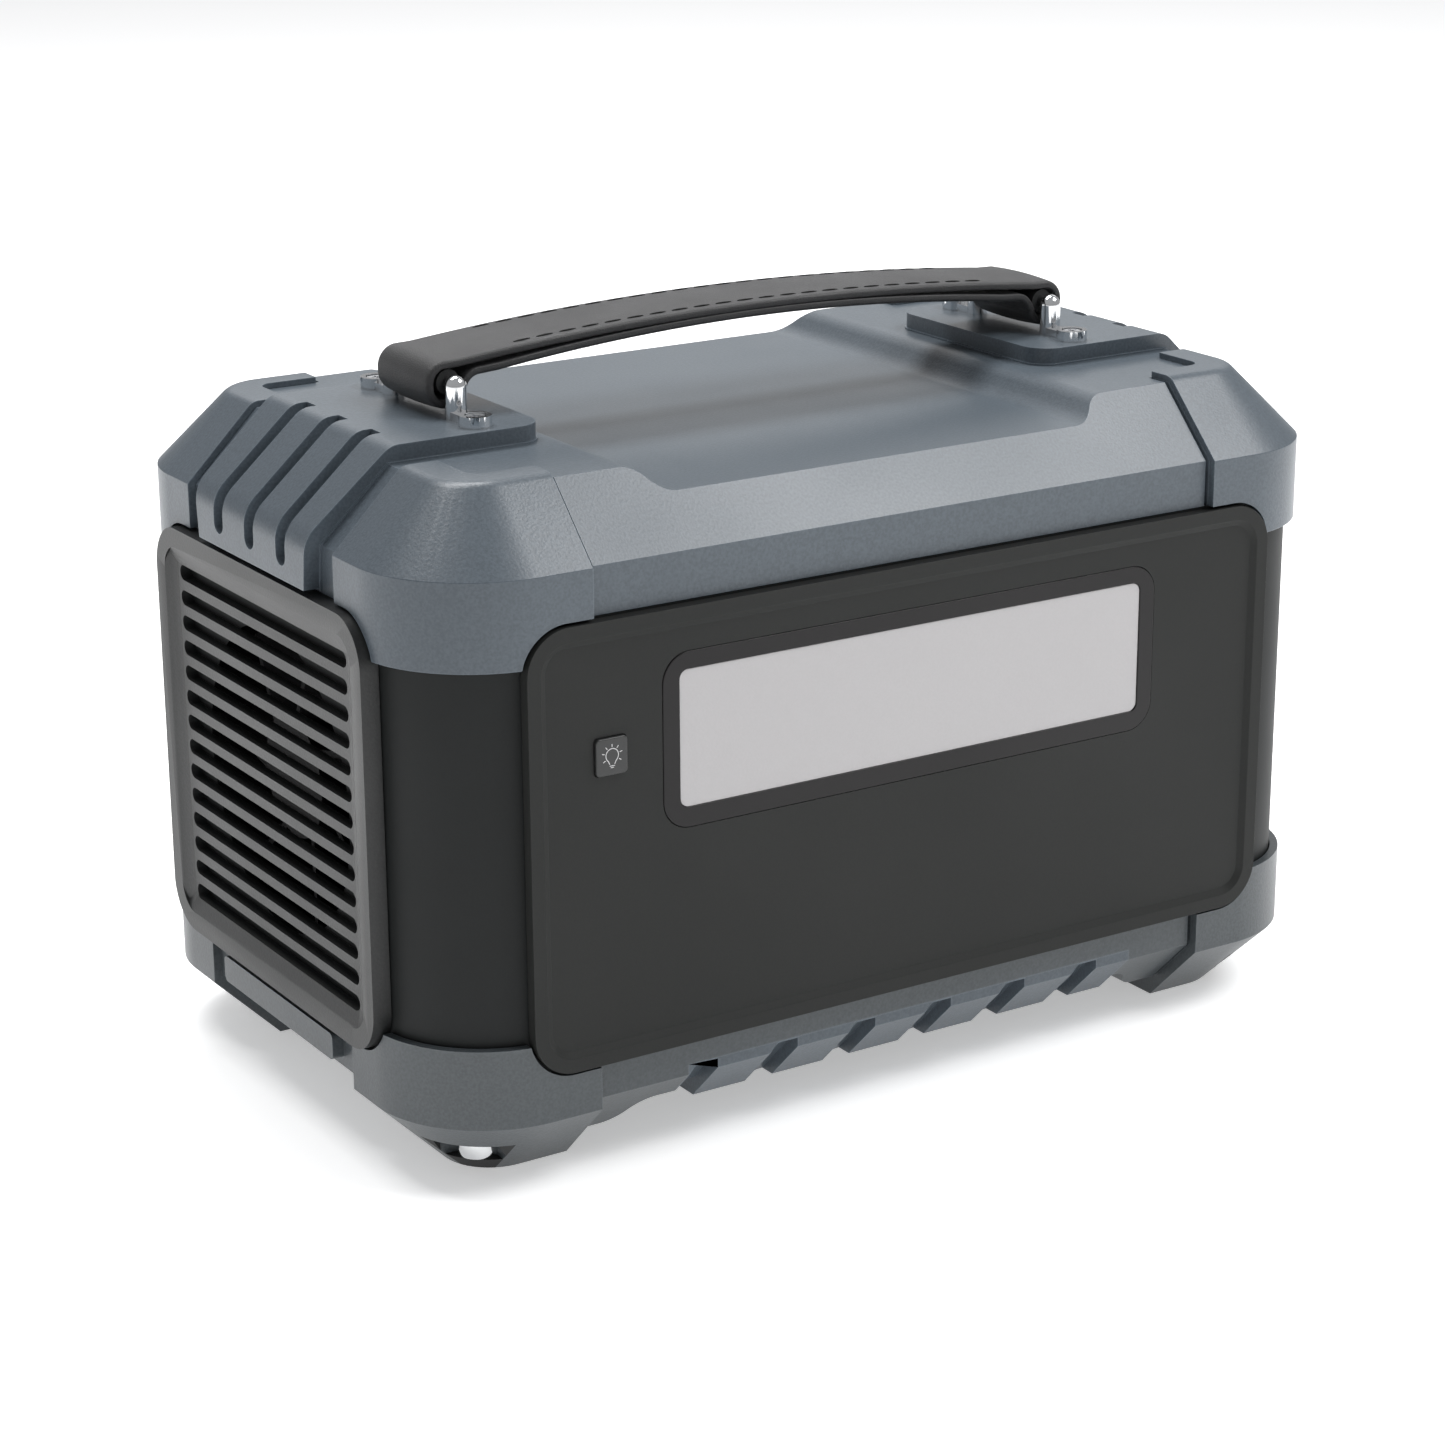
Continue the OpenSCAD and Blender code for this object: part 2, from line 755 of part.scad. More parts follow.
// Board behind the window, with its lamps and the switch that the button works
module led_board() {
    top = led_board_y + board_t;
    color(FR4) mirror([0, 1, 0]) {
        difference() {
            front_plate(board_mid_x, window_z, 204, 44, 2, led_board_y, board_t);
            for (p = led_posts) y_cyl(p[0], p[1], post_pin_r + 0.1, led_board_y - 1, board_t + 2);
        }
        for (i = [-5 : 5]) for (j = [-1 : 1])
            front_plate(i * 13, window_z + j * 11, 5, 5, 0.4, top, 1);
        front_plate(key_x, key_z, switch_w, switch_w, 0.3, top, 2.4);
        y_cyl(key_x, key_z, 1.6, top + 2, 0.5);
    }
}

// Button with its stem; the stem ends the travel above the switch
module push_button(x, z) {
    front_plate(x, z, key_w, key_h, key_r, panel_y + key_floor,
        lamp_field + lamp_key_proud - panel_y - key_floor);
    y_cyl(x, z, stem_r - 0.4, panel_y - led_stem, 5);
}

module led_button() {
    color("#4a4b4c") mirror([0, 1, 0]) push_button(key_x, key_z);
}

// ---------------------------------------------------------------- grilles and fans

module grille(s) {
    x0 = body_l / 2;
    color(PANEL) mirror([s > 0 ? 0 : 1, 0, 0]) difference() {
        end_plate(grille_mid, grille_w, grille_h, grille_r, x0, grille_t);
        grille_field(x0 + grille_t);
        for (i = [0 : slots - 1]) translate([x0 - 1, 0, slot_mid + (i - (slots - 1) / 2) * slot_pitch])
            rotate([90, 0, 90]) linear_extrude(grille_t + 2) rrect(slot_l, slot_h, slot_h / 2 - 0.01);
    }
}

// Section of the grille's dished field, e to either side of its middle
function dish(e) = [[-e + field_bevel, 0], [e - field_bevel, 0], [e, field_deep], [e, field_deep + 1],
    [-e, field_deep + 1], [-e, field_deep]];

// The dished field of a grille: straight bevels on four sides round a flat floor
module grille_field(x_face) {
    w = grille_w - 2 * grille_rim;
    h = grille_h - 2 * grille_rim;
    translate([x_face - field_deep, 0, grille_mid]) rotate([90, 0, 90]) {
        intersection() {
            rotate([90, 0, 0]) linear_extrude(h, center = true) polygon(dish(w / 2));
            rotate([90, 0, 90]) linear_extrude(w, center = true) polygon(dish(h / 2));
            linear_extrude(field_deep + 1) rrect(w, h, grille_r - grille_rim);
        }
    }
}

module at_fan(s) {
    translate([s * fan_x, 0, fan_z]) mirror([s > 0 ? 0 : 1, 0, 0]) rotate([0, 90, 0]) children();
}

module fan_frame(s) {
    color(BLACK) at_fan(s) {
        difference() {
            linear_extrude(fan_t, center = true) rrect(fan_size, fan_size, 6);
            cylinder(r = fan_bore, h = fan_t + 2, center = true);
            for (x = [-1, 1]) for (y = [-1, 1]) translate([x * 41.25, y * 41.25, 0])
                cylinder(r = 2.1, h = fan_t + 2, center = true);
        }
        translate([0, 0, -fan_t / 2]) {
            cylinder(r = hub_r + 1, h = 2.5);
            for (a = [45 : 90 : 315]) rotate(a) box(hub_r, -2, 0, fan_bore - hub_r + 1, 4, 2.5);
            cylinder(r = spindle_r, h = 12);
        }
    }
}

module fan_rotor(s) {
    color("#26282a") at_fan(s) difference() {
        union() {
            translate([0, 0, -fan_t / 2 + 4]) cylinder(r = hub_r, h = fan_t - 6);
            for (i = [0 : blades - 1]) rotate(i * 360 / blades) intersection() {
                rotate([blade_pitch, 0, 0]) box(hub_r - 2, -0.7, -14, blade_r, 1.4, 28);
                translate([0, 0, -fan_t / 2 + 4.5]) cylinder(r = blade_r, h = fan_t - 8);
            }
        }
        translate([0, 0, -fan_t / 2]) cylinder(r = spindle_r + 0.05, h = 13);
    }
}

// ---------------------------------------------------------------- handle

module handle_bracket(s) {
    color(CHROME) mirror([s > 0 ? 0 : 1, 0, 0]) for (sy = [0, 1]) mirror([0, sy, 0]) translate([bar_x, 0, 0])
        difference() {
            union() {
                translate([0, post_y, saddle_z]) cylinder(r = post_r, h = post_z - saddle_z);
                translate([0, post_y, post_z]) sphere(post_r);
                translate([0, lug_y, saddle_z]) cylinder(r = lug_r, h = lug_h);
                box(-lug_neck / 2, post_y, saddle_z, lug_neck, lug_y - post_y, lug_h - 0.8);
            }
            translate([0, lug_y, saddle_z - 1]) cylinder(r = screw_r + screw_slack, h = lug_h + 2);
            translate([0, lug_y, saddle_z + lug_floor]) cylinder(r = screw_head_r + 0.3, h = lug_h);
            translate([0, post_y, bar_z]) rotate([90, 0, 0]) cylinder(r = spigot_r, h = post_r + 1);
        }
}

module handle_bars() {
    half = strap_w / 2 - 1;
    color(RUBBER) for (s = [-1, 1]) translate([s * bar_x, 0, bar_z]) rotate([90, 0, 0]) {
        cylinder(r = bar_r, h = 2 * half, center = true);
        cylinder(r = spigot_r, h = 2 * post_y, center = true);
    }
}

module bracket_screws() {
    color(STEEL) for (x = [-1, 1]) for (y = [-1, 1]) translate([x * bar_x, y * lug_y, 0]) difference() {
        union() {
            translate([0, 0, saddle_z + lug_floor]) cylinder(r = screw_head_r, h = 0.8);
            translate([0, 0, saddle_z - 10.4]) cylinder(r = screw_r, h = 10.4 + lug_floor + 0.4);
        }
        for (a = [0, 90]) rotate(a) box(-1.5, -0.3, saddle_z + lug_floor + 0.4, 3, 0.6, 1);
    }
}

// Half of the strap's outer line: along the top, round the bar and back under it to the lower layer
function strap_half() = let (
    foot = strap_low - strap_low_bow * strap_join * strap_join
) concat(
    [for (i = [0 : 12]) let (x = (loop_x - 4) * i / 12) [x, strap_top - strap_bow * x * x]],
    arc(loop_x, loop_z, loop_r, 84, 0, 8),
    arc(loop_x, loop_z - loop_low, loop_r, 0, -172, 14),
    arc(loop_x - loop_r - turn_r, foot - turn_r, turn_r, 12, 80, 5),
    [for (i = [10 : -1 : 0]) let (x = (strap_join - 2) * i / 10) [x, strap_low - strap_low_bow * x * x]]
);

module handle_strap() {
    color("#232425") rotate([90, 0, 0]) linear_extrude(strap_w, center = true) difference() {
        polygon(concat(strap_half(), mirror_x(strap_half())));
        for (s = [0, 1]) mirror([s, 0]) strap_eye();
        strap_gap();
    }
}

// The hole that a bar passes through, with slack below and outside the bar
module strap_eye() {
    r = loop_r - strap_t;
    for (x = [bar_x, loop_x]) for (z = [loop_z, loop_z - loop_low]) translate([x, z]) circle(r);
    translate([bar_x - r, loop_z - loop_low]) square([2 * r + loop_out, loop_low]);
    translate([bar_x, loop_z - loop_low - r]) square([loop_out, 2 * r + loop_low]);
}

// The narrow space between the two layers, which opens towards both bars
module strap_gap() {
    xs = [for (i = [0 : 8]) gap_start + (bar_x - 2 - gap_start) * i / 8];
    top = [for (x = xs) [x, strap_top - strap_t - strap_bow * x * x]];
    low = [for (i = [8 : -1 : 0]) [xs[i], strap_low + strap_t - strap_low_bow * xs[i] * xs[i]]];
    for (s = [0, 1]) mirror([s, 0]) polygon(concat(top, low));
}

// ---------------------------------------------------------------- output panel

module output_panel() {
    color(PANEL) difference() {
        panel_plate(panel_step, panel_bevel);
        front_plate(display_x, display_z, display_w, display_h, 3, face_y - display_deep, 3);
        front_plate(display_x, display_z, display_w - 6, display_h - 6, 1, panel_y - 1, panel_t + 2);
        for (x = ac_x) front_plate(x, ac_z, ac_w, ac_h, 5, panel_y - 1, panel_t + 2);
        for (x = usb_a_x) front_plate(x, usb_a_z, 13.6, 6.2, 0.6, panel_y - 1, panel_t + 2);
        for (x = usb_c_x) front_plate(x, usb_c_z, 9.6, 3.8, 1.8, panel_y - 1, panel_t + 2);
        for (x = dc_x) y_cyl(x, dc_z, 4.6, panel_y - 1, panel_t + 2);
        y_cyl(inlet_x, inlet_z, 5.6, panel_y - 1, panel_t + 2);
        y_cyl(car_x, car_z, pocket_r, panel_y - 1, panel_t + 2);
        box(car_x - pin_l / 2 + 2, panel_y - 1, car_z, pin_l - 4, panel_t + 2, pin_z - car_z + 2.4);
        at_cap_pin() cylinder(r = pin_r, h = pin_l + 0.2, center = true);
        y_cyl(main_x, main_z, main_r + key_clear, panel_y - 1, panel_t + 2);
        for (x = [ac_key_x, dc_key_x]) front_plate(x, row_key_z, row_key_w + 2 * key_clear,
            row_key_h + 2 * key_clear, 2, panel_y - 1, panel_t + 2);
        panel_screw_places() {
            y_cyl(0, 0, 1.3, -6, 12);
            y_cyl(0, 0, 2.7, -1.5, 4);
        }
    }
}

module panel_screw_places() {
    for (x = [-1, 1]) for (z = [-1, 1])
        translate([x * 108, face_y - panel_step, panel_mid + z * 48.5]) children();
}

module panel_screws() {
    color(STEEL) panel_screw_places() difference() {
        union() {
            y_cyl(0, 0, 2.5, -1.5, 1.3);
            y_cyl(0, 0, 1.2, -2.9, 1.5);
        }
        for (a = [0, 90]) rotate([0, a, 0]) box(-1.4, -0.9, -0.3, 2.8, 1, 0.6);
    }
}

module display_window() {
    color("#101214")
        front_plate(display_x, display_z, display_w - 0.2, display_h - 0.2, 3, face_y - display_deep, 1.2);
}

module display_module() {
    color("#2f3b38") front_plate(display_x, display_z, display_w - 7, display_h - 7, 1, panel_y - 3,
        3 + panel_t - display_deep);
}

// Outlet body with two blade slots and a round earth hole
module ac_outlets() {
    color("#242526") for (x = ac_x) difference() {
        union() {
            front_plate(x, ac_z, ac_w - 0.4, ac_h - 0.4, 5, panel_y, panel_t - 0.8);
            front_plate(x, ac_z, ac_w - 4, ac_h - 4, 3, panel_y - 24, 25);
        }
        for (b = [-1, 1]) front_plate(x + b * 6.35, ac_z + 3, 2, 8, 0.4, panel_y - 18, 30);
        y_cyl(x, ac_z - 8, 2.4, panel_y - 18, 30);
    }
}

// Metal port shells, each with its tongue
module usb_ports() {
    color(STEEL) {
        for (x = usb_a_x) {
            difference() {
                front_plate(x, usb_a_z, 13.4, 6, 0.5, panel_y - 12, 14.4);
                front_plate(x, usb_a_z, 12.5, 5.1, 0.3, panel_y - 11, 20);
            }
            front_plate(x, usb_a_z + 1.1, 11, 1.8, 0.2, panel_y - 11.5, 12);
        }
        for (x = usb_c_x) {
            difference() {
                front_plate(x, usb_c_z, 9.4, 3.6, 1.7, panel_y - 8, 10.4);
                front_plate(x, usb_c_z, 8.5, 2.7, 1.3, panel_y - 7, 16);
            }
            front_plate(x, usb_c_z, 6.7, 0.7, 0.2, panel_y - 7.5, 8);
        }
    }
}

// Barrel outlet: a sleeve with a centre pin
module barrel_jack(x, z, r, bore, pin, depth) {
    difference() {
        y_cyl(x, z, r, panel_y - depth, depth + panel_t - 1);
        y_cyl(x, z, bore, panel_y - depth + 2, depth + panel_t);
    }
    y_cyl(x, z, pin, panel_y - depth + 1, depth - 1);
}

module dc_outlets() {
    color("#202122") for (x = dc_x) barrel_jack(x, dc_z, 4.5, 2.9, 1.05, 10);
}

module charge_inlet() {
    color("#202122") barrel_jack(inlet_x, inlet_z, 5.5, 4, 0.9, 12);
}

module car_socket() {
    color(STEEL) difference() {
        union() {
            y_cyl(car_x, car_z, car_bore_r + car_wall, panel_y - car_depth, car_depth);
            y_cyl(car_x, car_z, flange_r, panel_y, 0.6);
        }
        y_cyl(car_x, car_z, car_bore_r, panel_y - car_depth + 2, car_depth);
    }
}

module at_cap_pin() {
    translate([car_x, pin_y, pin_z]) rotate([0, 90, 0]) children();
}

// Dust cap with its hinge knuckle above
module car_socket_cap() {
    root_z = car_z + cap_r - 1.5;
    color(RUBBER) difference() {
        union() {
            y_cyl(car_x, car_z, cap_r, face_y - cap_t, cap_t);
            box(car_x - knuckle_l / 2, face_y - cap_t + 0.3, root_z, knuckle_l, 1.4, pin_z - root_z);
            at_cap_pin() cylinder(r = knuckle_r, h = knuckle_l, center = true);
        }
        at_cap_pin() cylinder(r = pin_r + pin_clear, h = knuckle_l + 2, center = true);
        y_cyl(car_x, car_z, cap_r - 2, face_y - cap_t - 1, 1.8);
    }
}

module cap_hinge_pin() {
    color(STEEL) at_cap_pin() cylinder(r = pin_r, h = pin_l, center = true);
}

module rear_stem(x, z) {
    y_cyl(x, z, stem_r - 0.4, panel_y - stem_l, stem_l + 2);
}

module power_button() {
    color("#4a4b4c") {
        y_cyl(main_x, main_z, main_r, panel_y + key_floor, panel_t - key_floor);
        rear_stem(main_x, main_z);
    }
}

module row_button(x) {
    color("#4a4b4c") {
        front_plate(x, row_key_z, row_key_w, row_key_h, 2, panel_y + key_floor, panel_t - key_floor);
        rear_stem(x, row_key_z);
    }
}

// Board behind the output panel, with the three switches
module control_board() {
    y0 = control_board_y;
    color(FR4) {
        difference() {
            front_plate(board_mid_x, 112, 200, 48, 2, y0, board_t);
            front_plate(display_x, display_z, display_w - 4, display_h - 4, 1, y0 - 1, board_t + 2);
            for (x = usb_a_x) front_plate(x, usb_a_z, 14, 6.6, 0.6, y0 - 1, board_t + 2);
            for (x = usb_c_x) front_plate(x, usb_c_z, 10, 4.2, 1.8, y0 - 1, board_t + 2);
            for (p = control_posts) y_cyl(p[0], p[1], post_pin_r + 0.1, y0 - 1, board_t + 2);
        }
        for (p = rear_keys) front_plate(p[0], p[1], switch_w, switch_w, 0.3, y0 + board_t, 1.6);
    }
}

// ---------------------------------------------------------------- battery and power boards

module cell_places() {
    for (i = [0 : cells_x - 1]) for (j = [0 : cells_y - 1])
        translate([(i - (cells_x - 1) / 2) * cell_pitch, (j - (cells_y - 1) / 2) * cell_pitch, 0]) children();
}

module battery_tray() {
    color("#3d4043") difference() {
        translate([0, 0, deck_z]) linear_extrude(tray_t) rrect(2 * post_x_in + 12, 2 * post_y_in + 12, 5);
        for (x = [-1, 1]) for (y = [-1, 1]) translate([x * post_x_in, y * post_y_in, deck_z - 1])
            cylinder(r = 1.6, h = tray_t + 2);
    }
}

module cell_holders() {
    color("#22262a") for (z = [cell_z0 + 1, cell_z0 + cell_l - holder_t - 1]) difference() {
        translate([0, 0, z]) linear_extrude(holder_t) rrect(pack_l, pack_d, 4);
        cell_places() translate([0, 0, z - 1]) cylinder(r = cell_r + 0.1, h = holder_t + 2);
    }
}

module battery_cells() {
    color("#2f7fb8") cell_places() translate([0, 0, cell_z0]) cylinder(r = cell_r, h = cell_l);
}

// Nickel strips: each joins one row of cells, below and above
module busbars() {
    color("#c9c5b8") for (z = [deck_z + tray_t, cell_z0 + cell_l]) for (i = [0 : cells_x - 1])
        translate([(i - (cells_x - 1) / 2) * cell_pitch, 0, z]) linear_extrude(bar_t)
            square([8, (cells_y - 1) * cell_pitch + 12], center = true);
}

module bms_board() {
    color(FR4) {
        translate([0, 0, bms_z]) linear_extrude(board_t) rrect(150, 70, 2);
        for (i = [-3 : 3]) box(i * 18 - 4, -20, bms_z + board_t, 8, 6, 1.8);
        box(-60, 8, bms_z + board_t, 30, 16, 4);
        for (x = [-1, 1]) for (y = [-1, 1]) translate([x * 68, y * 28, cell_z0 + cell_l + bar_t])
            cylinder(r = 2.5, h = bms_z - cell_z0 - cell_l - bar_t);
    }
}

// Posts under the inverter board, and those that hold the lamp and control boards to the body's walls
module board_standoffs() {
    color("#c8b26a") {
        for (x = [-1, 1]) for (y = [-1, 1]) translate([x * post_x_in, y * post_y_in, deck_z + tray_t])
            cylinder(r = 3.2, h = inverter_z - deck_z - tray_t);
        mirror([0, 1, 0]) for (p = led_posts) board_post(p, led_board_y);
        for (p = control_posts) board_post(p, control_board_y);
    }
}

module inverter_board() {
    color(FR4) difference() {
        translate([0, 0, inverter_z]) linear_extrude(board_t)
            rrect(2 * post_x_in + 14, 2 * post_y_in + 12, 3);
        for (x = [-1, 1]) for (y = [-1, 1]) translate([x * post_x_in, y * post_y_in, inverter_z - 1])
            cylinder(r = 1.6, h = board_t + 2);
    }
}

// Two finned bars along the board's long sides
module inverter_heatsinks() {
    z0 = inverter_z + board_t;
    color("#9fa3a6") for (y = [-1, 1]) translate([0, y * 38, z0]) {
        box(-70, -3, 0, 140, 6, 34);
        for (i = [0 : 5]) box(-70, y > 0 ? 3 - EPS : -13, 4 + i * 5.4, 140, 10 + EPS, 1.6);
    }
}

module transformer() {
    z0 = inverter_z + board_t;
    color(COPPER) difference() {
        union() {
            box(-60, -18, z0, 44, 36, 34);
            box(-66, -12, z0 + 6, 56, 24, 22);
        }
        for (y = [-1, 1]) box(-54, y > 0 ? 15 : -19, z0 + 8, 32, 4, 18);
    }
}

module capacitors() {
    z0 = inverter_z + board_t;
    color("#23304a") for (i = [0 : 2]) for (j = [0, 1]) translate([8 + i * 24, -12 + j * 24, z0]) {
        cylinder(r = 9, h = 32);
        translate([0, 0, 32 - EPS]) cylinder(r = 8, h = 1);
    }
}

// ---------------------------------------------------------------- the part

bottom_shell();
mid_body();
rear_wall();
top_shell();
top_guard(-1, -1);  // top_guard_front_left
top_guard(1, -1);  // top_guard_front_right
top_guard(-1, 1);  // top_guard_rear_left
top_guard(1, 1);  // top_guard_rear_right
bottom_guard(-1, -1);  // bottom_guard_front_left
bottom_guard(1, -1);  // bottom_guard_front_right
bottom_guard(-1, 1);  // bottom_guard_rear_left
bottom_guard(1, 1);  // bottom_guard_rear_right
end_saddle(-1);  // end_saddle_left
end_saddle(1);  // end_saddle_right
tread_rail(-1);  // front_tread_rail
tread_rail(1);  // rear_tread_rail
corner_feet();
foot_studs();
led_panel();
led_frame();
led_window();
led_board();
led_button();
grille(-1);  // grille_left
grille(1);  // grille_right
fan_frame(-1);  // fan_frame_left
fan_frame(1);  // fan_frame_right
fan_rotor(-1);  // fan_rotor_left
fan_rotor(1);  // fan_rotor_right
handle_bracket(-1);  // handle_bracket_left
handle_bracket(1);  // handle_bracket_right
handle_bars();
bracket_screws();
handle_strap();
output_panel();
display_window();
display_module();
ac_outlets();
usb_ports();
dc_outlets();
car_socket();
car_socket_cap();
cap_hinge_pin();
charge_inlet();
power_button();
row_button(ac_key_x);  // ac_button
row_button(dc_key_x);  // dc_button
panel_screws();
control_board();
battery_tray();
cell_holders();
battery_cells();
busbars();
bms_board();
board_standoffs();
inverter_board();
inverter_heatsinks();
transformer();
capacitors();
case_screws();
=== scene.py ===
"""Looks of the portable power station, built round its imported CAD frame. Lengths are in millimetres, times MM."""

import math

import bmesh
import bpy
from mathutils import Matrix, Vector


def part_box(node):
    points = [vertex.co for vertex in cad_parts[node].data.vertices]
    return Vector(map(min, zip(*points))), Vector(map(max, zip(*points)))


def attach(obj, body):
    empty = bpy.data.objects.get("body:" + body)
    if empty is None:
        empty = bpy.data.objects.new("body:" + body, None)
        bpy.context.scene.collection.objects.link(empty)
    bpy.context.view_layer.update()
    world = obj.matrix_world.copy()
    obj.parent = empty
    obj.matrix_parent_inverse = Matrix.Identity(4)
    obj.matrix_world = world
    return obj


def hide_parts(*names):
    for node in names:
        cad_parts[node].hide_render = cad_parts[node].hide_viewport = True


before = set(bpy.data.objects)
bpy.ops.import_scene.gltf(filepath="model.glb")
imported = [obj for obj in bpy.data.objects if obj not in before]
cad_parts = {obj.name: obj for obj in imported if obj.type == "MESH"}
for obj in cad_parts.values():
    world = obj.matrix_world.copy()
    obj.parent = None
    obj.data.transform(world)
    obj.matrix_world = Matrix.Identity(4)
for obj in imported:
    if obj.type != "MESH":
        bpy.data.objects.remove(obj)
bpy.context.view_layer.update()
MM = 0.001

# ---------------------------------------------------------------- camera, floor and light

CAMERA_AT = (-517.15, -808.81, 396.78)
CAMERA_YAW = 32.37
CAMERA_PITCH = 18.09
CAMERA_ROLL = 0.31
CAMERA_LENS = 86.3

# Name, place, target, size and power of each softbox, in metres and watts
SOFTBOXES = [
    ("key_softbox", (1.05, -0.72, 1.7), (0, 0, 0.1), (1.1, 0.8), 27),
    ("top_softbox", (-0.1, 0.7, 2.0), (0, 0, 0.15), (1.6, 0.7), 38),
    ("back_softbox", (0.8, 1.25, 0.85), (0, 0, 0.19), (1.6, 0.5), 2.8),
]
SKY_LOW = (0.74, 0.74, 0.75, 1)
SKY_HIGH = (0.78, 0.79, 0.81, 1)
SKY_HIGH_AT = 0.9
SKY_POWER = 0.46
FLOOR_RADIUS = 14


def make_camera():
    yaw, pitch, roll = (math.radians(a) for a in (CAMERA_YAW, CAMERA_PITCH, CAMERA_ROLL))
    forward = Vector((math.sin(yaw) * math.cos(pitch), math.cos(yaw) * math.cos(pitch), -math.sin(pitch)))
    level = Vector((math.cos(yaw), -math.sin(yaw), 0))
    down = forward.cross(level)
    right = math.cos(roll) * level + math.sin(roll) * down
    down = math.cos(roll) * down - math.sin(roll) * level
    data = bpy.data.cameras.new("camera")
    data.lens = CAMERA_LENS
    data.sensor_width = 36
    data.clip_start, data.clip_end = 0.05, 60
    camera = bpy.data.objects.new("camera", data)
    bpy.context.scene.collection.objects.link(camera)
    turn = Matrix((right, -down, -forward)).transposed().to_4x4()
    camera.matrix_world = Matrix.Translation(Vector(CAMERA_AT) * MM) @ turn
    bpy.context.scene.camera = camera


def area_light(name, place, target, size, power):
    data = bpy.data.lights.new(name, "AREA")
    data.shape = "RECTANGLE"
    data.size, data.size_y = size
    data.energy = power
    light = bpy.data.objects.new(name, data)
    bpy.context.scene.collection.objects.link(light)
    light.location = place
    light.rotation_euler = (Vector(target) - Vector(place)).to_track_quat("-Z", "Y").to_euler()


def light_the_scene():
    world = bpy.data.worlds.new("studio")
    bpy.context.scene.world = world
    world.use_nodes = True
    tree = world.node_tree
    background = tree.nodes["Background"]
    coords = tree.nodes.new("ShaderNodeTexCoord")
    split = tree.nodes.new("ShaderNodeSeparateXYZ")
    ramp = tree.nodes.new("ShaderNodeValToRGB")
    low, high = ramp.color_ramp.elements
    low.color = SKY_LOW
    high.color = SKY_HIGH
    high.position = SKY_HIGH_AT
    tree.links.new(coords.outputs["Generated"], split.inputs[0])
    tree.links.new(split.outputs["Z"], ramp.inputs["Fac"])
    tree.links.new(ramp.outputs["Color"], background.inputs["Color"])
    background.inputs["Strength"].default_value = SKY_POWER
    for softbox in SOFTBOXES:
        area_light(*softbox)
    bpy.context.scene.view_settings.view_transform = "Standard"


# ---------------------------------------------------------------- materials


def srgb(red, green, blue):
    """A screen colour with channels from 0 to 255, as the linear colour that the shaders take."""
    def channel(value):
        value /= 255
        return value / 12.92 if value <= 0.04045 else ((value + 0.055) / 1.055) ** 2.4
    return (channel(red), channel(green), channel(blue), 1)


